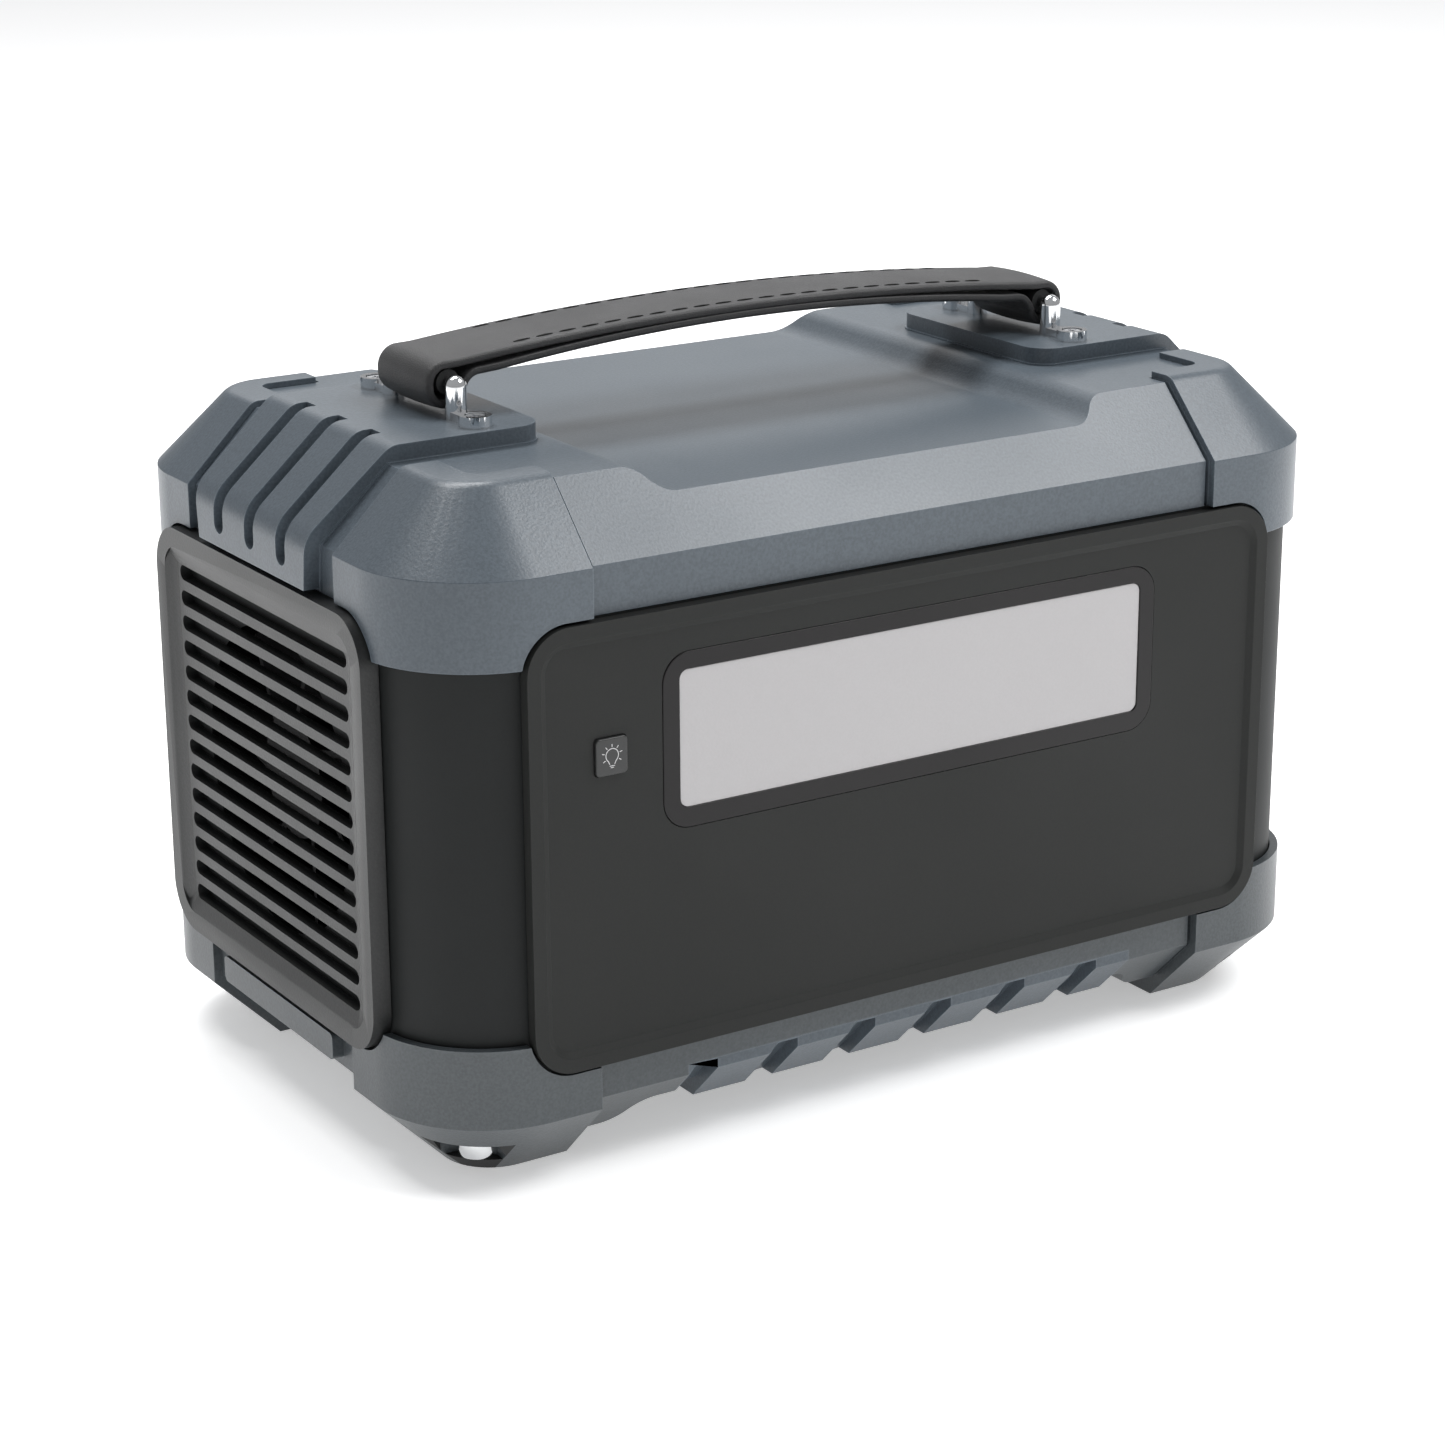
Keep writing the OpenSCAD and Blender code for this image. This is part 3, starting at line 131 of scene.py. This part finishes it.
class Finish:
    """A material and short ways to add nodes to it. Textures read object coordinates, in metres."""

    def __init__(self, name, colour, rough, metallic=0.0):
        self.material = bpy.data.materials.new(name)
        self.material.use_nodes = True
        self.tree = self.material.node_tree
        self.shader = self.tree.nodes["Principled BSDF"]
        self.colour = self.constant = colour
        self.material.diffuse_color = colour
        self.rough = rough
        self.shader.inputs["Metallic"].default_value = metallic
        self.coords = self.node("TexCoord").outputs["Object"]
        self.normal = None

    def node(self, kind, **settings):
        made = self.tree.nodes.new("ShaderNode" + kind)
        for key, value in settings.items():
            setattr(made, key, value)
        return made

    def put(self, socket, value):
        if isinstance(value, bpy.types.NodeSocket):
            self.tree.links.new(value, socket)
        else:
            socket.default_value = value

    def noise(self, size_mm, detail=2, stretch=(1, 1, 1), rough=0.5):
        place = self.node("Mapping")
        place.inputs["Scale"].default_value = stretch
        self.put(place.inputs["Vector"], self.coords)
        made = self.node("TexNoise")
        self.put(made.inputs["Vector"], place.outputs[0])
        made.inputs["Scale"].default_value = 1 / (size_mm * MM)
        made.inputs["Detail"].default_value = detail
        made.inputs["Roughness"].default_value = rough
        return made.outputs["Fac"]

    def cells(self, size_mm, feature="DISTANCE_TO_EDGE"):
        made = self.node("TexVoronoi", feature=feature)
        self.put(made.inputs["Vector"], self.coords)
        made.inputs["Scale"].default_value = 1 / (size_mm * MM)
        return made.outputs["Distance"]

    def spread(self, value, low, high, to_low, to_high):
        made = self.node("MapRange")
        for key, number in zip(("From Min", "From Max", "To Min", "To Max"), (low, high, to_low, to_high)):
            made.inputs[key].default_value = number
        self.put(made.inputs["Value"], value)
        return made.outputs[0]

    def maths(self, operation, a, b):
        made = self.node("Math", operation=operation)
        self.put(made.inputs[0], a)
        self.put(made.inputs[1], b)
        return made.outputs[0]

    def blend(self, share, a, b):
        made = self.node("Mix", data_type="RGBA")
        self.put(made.inputs[0], share)
        self.put(made.inputs[6], a)
        self.put(made.inputs[7], b)
        return made.outputs[2]

    def tint(self, share, factor):
        """Moves the colour towards itself times factor, by share."""
        other = tuple(min(1.0, c * factor) for c in self.constant[:3]) + (1,)
        self.colour = self.blend(share, self.colour, other)

    def edges(self, radius_mm, low=0.02, high=0.3):
        """0 on flat faces and 1 on edges that turn within the radius."""
        bevel = self.node("Bevel", samples=3)
        bevel.inputs["Radius"].default_value = radius_mm * MM
        true = self.node("NewGeometry").outputs["Normal"]
        dot = self.node("VectorMath", operation="DOT_PRODUCT")
        self.put(dot.inputs[0], bevel.outputs[0])
        self.put(dot.inputs[1], true)
        return self.spread(dot.outputs["Value"], 1 - low, 1 - high, 0, 1)

    def bump(self, height, depth_mm, strength=1.0):
        made = self.node("Bump")
        made.inputs["Strength"].default_value = strength
        made.inputs["Distance"].default_value = depth_mm * MM
        self.put(made.inputs["Height"], height)
        if self.normal is not None:
            self.put(made.inputs["Normal"], self.normal)
        self.normal = made.outputs[0]

    def done(self, **sockets):
        self.put(self.shader.inputs["Base Color"], self.colour)
        self.put(self.shader.inputs["Roughness"], self.rough)
        if self.normal is not None:
            self.put(self.shader.inputs["Normal"], self.normal)
        for key, value in sockets.items():
            self.put(self.shader.inputs[key.replace("_", " ").title().replace("Ior", "IOR")], value)
        return self.material


def moulded(name, colour, rough, grain_mm=0.55, grain_depth=0.02, speckle=0.1, edge_highlight=0.35, edge_highlight_gain=1.7,
             **sockets):
    """Moulded plastic with a spark-eroded grain, slow changes of tone, and smoother edges painted paler as a
    painted highlight.
    """
    made = Finish(name, colour, rough)
    fine = made.noise(grain_mm, 3)
    slow = made.noise(60, 2)
    edge = made.edges(0.7)
    made.tint(made.spread(fine, 0.35, 0.65, 0, speckle * 2), 1.45)
    made.tint(made.spread(slow, 0.3, 0.7, 0, 0.12), 0.8)
    # Painted highlight: edges are tinted paler, standing in for light caught by their rounding
    made.tint(made.maths("MULTIPLY", edge, edge_highlight), edge_highlight_gain)
    streak = made.spread(slow, 0.3, 0.7, rough - 0.035, rough + 0.035)
    made.rough = made.maths("SUBTRACT", streak, made.maths("MULTIPLY", edge, 0.06))
    made.bump(fine, grain_depth)
    return made.done(**sockets)


def shell_finish(name, colour):
    # The shells get a strong painted highlight: thin paler edges in place of light caught by the edge rounding
    return moulded(name, colour, 0.36, grain_mm=0.75, grain_depth=0.06, speckle=0.34, edge_highlight=0.85, edge_highlight_gain=2.1)


def leather_finish():
    """Black grained strap: small pebbles, fine pores, a dull sheen, and edges painted paler as a painted highlight.
    """
    made = Finish("strap_grain", srgb(41, 41, 42), 0.52)
    pebbles = made.cells(0.7)
    pores = made.noise(0.35, 3)
    slow = made.noise(22, 3)
    edge = made.edges(0.8)
    made.tint(made.spread(pores, 0.4, 0.65, 0, 0.5), 1.6)
    made.tint(made.spread(slow, 0.35, 0.7, 0, 0.35), 0.7)
    # Painted highlight: the strap's rounded edges are tinted paler
    made.tint(made.maths("MULTIPLY", edge, 0.3), 1.8)
    made.rough = made.spread(slow, 0.3, 0.7, 0.46, 0.58)
    made.bump(made.spread(pebbles, 0, 0.3, 0, 1), 0.05)
    made.bump(pores, 0.04)
    return made.done(sheen_weight=0.1, sheen_roughness=0.4)


def thread_finish():
    made = Finish("thread", srgb(6, 6, 6), 0.7)
    twist = made.node("TexWave", wave_type="BANDS", bands_direction="DIAGONAL")
    made.put(twist.inputs["Vector"], made.coords)
    twist.inputs["Scale"].default_value = 900
    made.tint(twist.outputs["Fac"], 1.8)
    made.bump(twist.outputs["Fac"], 0.05)
    return made.done(specular_ior_level=0.15)


def metal_finish(name, colour, rough, brushed=False, scratch=0.5):
    """Plated or polished metal: faint haze, hairline scratches, and brushing where it is asked for."""
    made = Finish(name, colour, rough, metallic=1.0)
    haze = made.noise(6, 3)
    lines = made.noise(0.25, 2, stretch=(1, 0.05, 1) if brushed else (0.3, 1, 0.2))
    made.tint(made.spread(haze, 0.35, 0.7, 0, 0.25), 0.8)
    uneven = made.spread(haze, 0.3, 0.7, rough * 0.7, rough * 1.4)
    made.rough = made.maths("ADD", uneven, made.spread(lines, 0.55, 0.8, 0, 0.12 * scratch))
    made.bump(lines, 0.004 if brushed else 0.0015)
    return made.done()


def lamp_finish():
    """Frosted lamp cover: pale, with the even prismatic pattern of a light diffuser."""
    made = Finish("lamp_diffuser", srgb(176, 174, 175), 0.38)
    prisms = made.cells(0.9, feature="F1")
    mist = made.noise(0.5, 2)
    slow = made.noise(45, 2)
    made.tint(made.spread(mist, 0.35, 0.65, 0, 0.25), 0.9)
    made.tint(made.spread(slow, 0.3, 0.7, 0, 0.2), 0.93)
    made.rough = made.spread(mist, 0.3, 0.7, 0.34, 0.46)
    made.bump(prisms, 0.02)
    return made.done(coat_weight=0.25, coat_roughness=0.12)


def board_finish():
    """Green solder mask with its tracks showing through."""
    made = Finish("circuit_board", srgb(24, 74, 48), 0.35)
    tracks = made.node("TexBrick", offset=0.5)
    made.put(tracks.inputs["Vector"], made.coords)
    tracks.inputs["Scale"].default_value = 120
    tracks.inputs["Mortar Size"].default_value = 0.03
    made.tint(made.spread(tracks.outputs["Fac"], 0, 1, 0, 0.8), 1.7)
    made.tint(made.spread(made.noise(12, 3), 0.3, 0.7, 0, 0.3), 0.7)
    made.rough = made.spread(made.noise(3, 2), 0.3, 0.7, 0.3, 0.45)
    made.bump(tracks.outputs["Fac"], 0.03)
    return made.done()


def sleeve_finish():
    made = Finish("cell_sleeve", srgb(44, 112, 168), 0.32)
    made.tint(made.spread(made.noise(30, 2), 0.3, 0.7, 0, 0.4), 0.75)
    made.tint(made.spread(made.noise(0.6, 2), 0.4, 0.6, 0, 0.1), 1.2)
    made.rough = made.spread(made.noise(5, 3), 0.3, 0.7, 0.26, 0.4)
    made.bump(made.noise(2.5, 2), 0.02)
    return made.done(coat_weight=0.3)


def winding_finish():
    """Enamelled copper wire, laid in turns."""
    made = Finish("copper_winding", srgb(168, 96, 48), 0.3, metallic=0.85)
    turns = made.node("TexWave", wave_type="BANDS", bands_direction="X", wave_profile="SIN")
    made.put(turns.inputs["Vector"], made.coords)
    turns.inputs["Scale"].default_value = 320
    made.tint(turns.outputs["Fac"], 0.5)
    made.tint(made.spread(made.noise(5, 3), 0.3, 0.7, 0, 0.3), 1.3)
    made.rough = made.spread(made.noise(2, 2), 0.3, 0.7, 0.25, 0.4)
    made.bump(turns.outputs["Fac"], 0.2)
    return made.done()


def print_finish():
    made = Finish("printed_symbol", srgb(205, 205, 206), 0.5)
    made.tint(made.spread(made.noise(0.2, 2), 0.4, 0.6, 0, 0.3), 0.8)
    made.bump(made.noise(0.15, 2), 0.004)
    return made.done()


def floor_finish():
    made = Finish("studio_floor", (0.93, 0.93, 0.93, 1), 0.85)
    made.tint(made.spread(made.noise(400, 2), 0.3, 0.7, 0, 0.05), 0.97)
    made.bump(made.noise(2, 2), 0.01)
    return made.done(specular_ior_level=0.2, emission_color=(1, 1, 1, 1), emission_strength=0.4)


FINISHES = {
    "shell": shell_finish("shell_plastic", srgb(74, 82, 89)),
    "shell_dark": shell_finish("lower_shell_plastic", srgb(67, 72, 75)),
    "charcoal": moulded("charcoal_plastic", srgb(30, 32, 32), 0.55, grain_depth=0.012, edge_highlight=0.2,
                        specular_ior_level=0.2),
    "inner": moulded("fan_plastic", srgb(12, 12, 13), 0.6, edge_highlight=0.1, specular_ior_level=0.2),
    "panel": moulded("panel_plastic", srgb(38, 39, 38), 0.5, grain_mm=0.4, grain_depth=0.012, edge_highlight=0.4,
                     specular_ior_level=0.2),
    "grille": moulded("grille_plastic", srgb(32, 33, 33), 0.42, grain_mm=0.7, grain_depth=0.05, speckle=0.45),
    "black": moulded("gloss_black_plastic", srgb(20, 18, 19), 0.4, grain_mm=1.5, grain_depth=0.004, speckle=0.03,
                     specular_ior_level=0.3),
    "glass": moulded("display_glass", srgb(9, 11, 14), 0.08, grain_mm=4, grain_depth=0.001, speckle=0.02,
                     coat_weight=0.35, coat_roughness=0.05, specular_ior_level=0.3),
    "rubber": moulded("rubber", srgb(34, 35, 35), 0.7, grain_mm=0.7, grain_depth=0.03, edge_highlight=0.3),
    "key": moulded("key_plastic", srgb(44, 45, 45), 0.4, grain_mm=0.35, grain_depth=0.008, edge_highlight=0.6),
    "holder": moulded("holder_plastic", srgb(46, 50, 54), 0.5),
    "chrome": metal_finish("chrome_plate", (0.86, 0.87, 0.88, 1), 0.07),
    "steel": metal_finish("nickel_steel", (0.62, 0.63, 0.65, 1), 0.26, brushed=True),
    "heatsink": metal_finish("heatsink_aluminium", (0.66, 0.67, 0.69, 1), 0.38, brushed=True),
    "strap": leather_finish(),
    "thread": thread_finish(),
    "lamp": lamp_finish(),
    "board": board_finish(),
    "sleeve": sleeve_finish(),
    "winding": winding_finish(),
    "print": print_finish(),
    "floor": floor_finish(),
}

NODE_FINISH = {
    "shell": ["top_shell", "top_guard_front_left", "top_guard_front_right", "top_guard_rear_left",
              "top_guard_rear_right", "end_saddle_left", "end_saddle_right", "front_tread_rail",
              "rear_tread_rail"],
    "shell_dark": ["bottom_shell", "bottom_guard_front_left", "bottom_guard_front_right",
                   "bottom_guard_rear_left", "bottom_guard_rear_right"],
    "charcoal": ["mid_body", "rear_wall"],
    "inner": ["fan_frame_left", "fan_frame_right", "fan_rotor_left", "fan_rotor_right"],
    "panel": ["led_panel", "output_panel"],
    "grille": ["grille_left", "grille_right"],
    "black": ["led_frame", "ac_outlets", "dc_outlets", "charge_inlet"],
    "glass": ["display_window"],
    "rubber": ["corner_feet", "car_socket_cap", "handle_bars"],
    "key": ["led_button", "power_button", "ac_button", "dc_button"],
    "holder": ["battery_tray", "cell_holders"],
    "chrome": ["foot_studs", "handle_bracket_left", "handle_bracket_right"],
    "steel": ["bracket_screws", "usb_ports", "car_socket", "cap_hinge_pin", "panel_screws",
              "busbars", "case_screws", "board_standoffs"],
    "heatsink": ["inverter_heatsinks"],
    "lamp": ["led_window"],
    "board": ["led_board", "display_module", "control_board", "bms_board", "inverter_board"],
    "sleeve": ["battery_cells", "capacitors"],
    "winding": ["transformer"],
}

# An edge that turns by more than this, in degrees, is sharp and gets rounded
SHARP_EDGE = 28

# Rounding of the CAD nodes' sharp edges, in millimetres
EDGE_ROUND = {
    "top_shell": 0.7, "bottom_shell": 0.7,
    "top_guard_front_left": 0.7, "top_guard_front_right": 0.7, "top_guard_rear_left": 0.7,
    "top_guard_rear_right": 0.7, "bottom_guard_front_left": 0.7, "bottom_guard_front_right": 0.7,
    "bottom_guard_rear_left": 0.7, "bottom_guard_rear_right": 0.7,
    "end_saddle_left": 0.5, "end_saddle_right": 0.5, "front_tread_rail": 0.5, "rear_tread_rail": 0.5,
    "led_panel": 0.5, "output_panel": 0.5, "grille_left": 0.5, "grille_right": 0.5,
    "led_frame": 0.3, "led_button": 0.4, "power_button": 0.4, "ac_button": 0.4, "dc_button": 0.4,
    "car_socket_cap": 0.4, "ac_outlets": 0.3,
}


def paint(piece, finish):
    piece.data.materials.clear()
    piece.data.materials.append(FINISHES[finish])


def round_edges(node, width_mm):
    """Joins the CAD facets back into faces and rounds the sharp edges between them."""
    weld = node.modifiers.new("weld", "WELD")
    weld.merge_threshold = 1e-6
    faces = node.modifiers.new("faces", "DECIMATE")
    faces.decimate_type = "DISSOLVE"
    faces.angle_limit = math.radians(0.5)
    rounding = node.modifiers.new("rounding", "BEVEL")
    rounding.width = width_mm * MM
    rounding.segments = 3
    rounding.limit_method = "ANGLE"
    rounding.angle_limit = math.radians(SHARP_EDGE)
    rounding.miter_outer = "MITER_ARC"
    rounding.use_clamp_overlap = True
    rounding.harden_normals = True


def dress_frame():
    for finish, names in NODE_FINISH.items():
        for name in names:
            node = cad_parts[name]
            paint(node, finish)
            if "custom_normal" in node.data.attributes:
                node.data.attributes.remove(node.data.attributes["custom_normal"])
            node.data.shade_smooth()
            node.data.set_sharp_from_angle(angle=math.radians(SHARP_EDGE))
            if name in EDGE_ROUND:
                round_edges(node, EDGE_ROUND[name])


# ---------------------------------------------------------------- mesh helpers


def mesh_piece(name, body, finish, build):
    """A new mesh piece made by build(bm), riding on a CAD body."""
    mesh = bpy.data.meshes.new(name)
    bm = bmesh.new()
    build(bm)
    bmesh.ops.recalc_face_normals(bm, faces=bm.faces)
    bm.to_mesh(mesh)
    bm.free()
    mesh.shade_smooth()
    piece = bpy.data.objects.new(name, mesh)
    bpy.context.scene.collection.objects.link(piece)
    paint(piece, finish)
    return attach(piece, body)


def loft(bm, rings, closed=False):
    """Skins a list of rings of points; closed joins the last ring to the first, else both ends are capped."""
    made = [[bm.verts.new(point) for point in ring] for ring in rings]
    pairs = list(zip(made, made[1:]))
    if closed:
        pairs.append((made[-1], made[0]))
    for a, b in pairs:
        for i in range(len(a)):
            j = (i + 1) % len(a)
            bm.faces.new((a[i], a[j], b[j], b[i]))
    if not closed:
        bm.faces.new(list(reversed(made[0])))
        bm.faces.new(made[-1])


def arc_points(cx, cz, radius, start, end, count):
    return [(cx + radius * math.cos(math.radians(start + (end - start) * i / count)),
             cz + radius * math.sin(math.radians(start + (end - start) * i / count)))
            for i in range(count + 1)]


# ---------------------------------------------------------------- strap handle

# The strap is STRAP_T thick. Its top and its underside bow by z = -BOW x^2, and meet the loops at STRAP_JOIN.
STRAP_T = 2.7
STRAP_BOW = 0.000555
STRAP_LOW = 205.1
STRAP_LOW_BOW = 0.00076
STRAP_JOIN = 86
STRAP_TURN_R = 3.6
# The loop round each bar hangs LOOP_DROP lower and sits LOOP_OUT further out than the bar's centre
LOOP_DROP = 0.9
LOOP_OUT = 0.7
STRAP_CROWN = 0.6
STITCH_ROW = 11.3
STITCH_PITCH = 7.1
STITCH_LENGTH = 5.0
STITCH_X = 77


def strap_facts():
    """Half width, top, loop radius, and the loop's place in X and Z, in millimetres, from the CAD's boxes."""
    low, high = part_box("handle_strap")
    bars_low, bars_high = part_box("handle_bars")
    bar_r = (bars_high.z - bars_low.z) / 2
    loop_x = bars_high.x - bar_r + LOOP_OUT * MM
    return {"half": high.y / MM, "top": high.z / MM, "loop_x": loop_x / MM,
            "loop_r": (high.x - loop_x) / MM, "loop_z": (bars_low.z + bar_r) / MM - 0.05}


def strap_path(facts):
    """The closed line of the strap's mid thickness, in X and Z, from the middle of the top clockwise."""
    half_t = STRAP_T / 2
    loop_x, loop_z = facts["loop_x"], facts["loop_z"]
    radius = facts["loop_r"] - half_t
    foot = STRAP_LOW - STRAP_LOW_BOW * STRAP_JOIN ** 2
    turn_x = loop_x - facts["loop_r"] - STRAP_TURN_R
    end_x = loop_x - 4
    right = [(end_x * i / 40, facts["top"] - half_t - STRAP_BOW * (end_x * i / 40) ** 2) for i in range(41)]
    right += arc_points(loop_x, loop_z, radius, 80, 0, 12)
    right += arc_points(loop_x, loop_z - LOOP_DROP, radius, 0, -170, 22)[1:]
    right += arc_points(turn_x, foot - STRAP_TURN_R, STRAP_TURN_R + half_t, 14, 80, 8)
    low_x = STRAP_JOIN - 3
    right += [(low_x * (1 - i / 36), STRAP_LOW + half_t - STRAP_LOW_BOW * (low_x * (1 - i / 36)) ** 2)
              for i in range(37)]
    left = [(-x, z) for x, z in reversed(right[1:-1])]
    return right + left


def strap_section(half, crown):
    """The strap's cross-section as (y, outward) pairs: a crowned outer face and rounded edges."""
    half_t = STRAP_T / 2
    outer_r, inner_r = 1.0, 0.5
    flat = half - outer_r
    drop = crown * (flat / half) ** 2
    points = [(-flat + 2 * flat * i / 14, half_t - crown * ((-flat + 2 * flat * i / 14) / half) ** 2)
              for i in range(15)]
    points += [(flat + outer_r * math.sin(math.radians(a)),
                half_t - drop - outer_r + outer_r * math.cos(math.radians(a))) for a in (25, 50, 75, 90)]
    points += [(half - inner_r + inner_r * math.cos(math.radians(a)),
                -half_t + inner_r - inner_r * math.sin(math.radians(a))) for a in (15, 45, 90)]
    points += [(half * k, -half_t) for k in (0.6, 0.2)]
    mirrored = [(-y, n) for y, n in reversed(points[15:])]
    return points + mirrored


def make_strap():
    facts = strap_facts()
    path = [Vector((x, 0, z)) for x, z in strap_path(facts)]
    section = strap_section(facts["half"], STRAP_CROWN)
    count = len(path)

    def build(bm):
        rings = []
        for i, point in enumerate(path):
            along = (path[(i + 1) % count] - path[i - 1]).normalized()
            outward = Vector((-along.z, 0, along.x))
            rings.append([(point + outward * n + Vector((0, y, 0))) * MM for y, n in section])
        loft(bm, rings, closed=True)

    strap = mesh_piece("strap_band", "strap", "strap", build)
    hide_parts("handle_strap")
    make_stitches(facts)


def make_stitches(facts):
    """Two rows of short stitches, each a rounded thread sunk a little into the strap's top."""
    thread_w, thread_h, steps, sides = 0.6, 0.3, 6, 8
    slope = STRAP_CROWN * (STITCH_ROW / facts["half"]) ** 2

    def surface(x):
        return facts["top"] - slope - STRAP_BOW * x * x

    def build(bm):
        for row in (-STITCH_ROW, STITCH_ROW):
            for k in range(int(2 * STITCH_X / STITCH_PITCH) + 1):
                x0 = -STITCH_X + k * STITCH_PITCH
                rings = []
                for i in range(steps + 1):
                    t = i / steps
                    swell = max(0.25, math.sin(math.pi * min(max(t, 0.03), 0.97)) ** 0.35)
                    x = x0 + STITCH_LENGTH * t
                    rings.append([Vector((
                        x, row + thread_w * swell * math.cos(2 * math.pi * j / sides),
                        surface(x) + thread_h * swell * math.sin(2 * math.pi * j / sides))) * MM
                        for j in range(sides)])
                loft(bm, rings)

    mesh_piece("strap_stitching", "strap", "thread", build)


# ---------------------------------------------------------------- bulb symbol on the lamp button

SYMBOL_UP = 0.3
BULB_R = 1.85
STROKE_R = 0.15
SYMBOL_SUNK = 0.03


def make_bulb_symbol():
    low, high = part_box("led_button")
    x0 = (low.x + high.x) / 2
    z0 = (low.z + high.z) / 2 + SYMBOL_UP * MM
    bulb = [(-0.75, -2.3)] + arc_points(0, 0, BULB_R, 232, -52, 22) + [(0.75, -2.3)]
    strokes = [bulb, [(-0.7, -2.75), (0.7, -2.75)], [(-0.4, -3.2), (0.4, -3.2)]]
    for angle in (-30, 15, 52, 90, 128, 165, 210):
        turn = math.radians(angle)
        strokes.append([(r * math.cos(turn), r * math.sin(turn)) for r in (2.35, 3.0)])

    def build(bm):
        for stroke in strokes:
            add_stroke(bm, stroke, x0, low.y, z0)

    mesh_piece("bulb_symbol", "led_button", "print", build)


def add_stroke(bm, stroke, x0, face_y, z0, sides=8):
    """A thin rounded line printed on a face that looks along -Y."""
    points = [Vector((x * MM, 0, z * MM)) for x, z in stroke]
    rings = []
    for i, point in enumerate(points):
        along = (points[min(i + 1, len(points) - 1)] - points[max(i - 1, 0)]).normalized()
        aside = Vector((-along.z, 0, along.x))
        for reach, swell in end_steps(i, len(points)):
            centre = Vector((x0, face_y + SYMBOL_SUNK * MM, z0)) + point + along * reach * STROKE_R * MM
            rings.append([centre + aside * (STROKE_R * MM * swell * math.cos(2 * math.pi * j / sides))
                          + Vector((0, -0.3 * STROKE_R * MM * swell * math.sin(2 * math.pi * j / sides), 0))
                          for j in range(sides)])
    loft(bm, rings)


def end_steps(i, count):
    """Where the rings of a stroke's round end lie, as (reach beyond the point, size)."""
    if i == 0:
        return [(-1, 0.15), (-0.7, 0.7), (0, 1)]
    if i == count - 1:
        return [(0, 1), (0.7, 0.7), (1, 0.15)]
    return [(0, 1)]


# ---------------------------------------------------------------- floor


def make_floor():
    mesh = bpy.data.meshes.new("floor")
    bm = bmesh.new()
    bmesh.ops.create_circle(bm, cap_ends=True, segments=96, radius=FLOOR_RADIUS)
    bm.to_mesh(mesh)
    bm.free()
    floor = bpy.data.objects.new("floor", mesh)
    bpy.context.scene.collection.objects.link(floor)
    paint(floor, "floor")


make_camera()
light_the_scene()
make_floor()
dress_frame()
make_strap()
make_bulb_symbol()
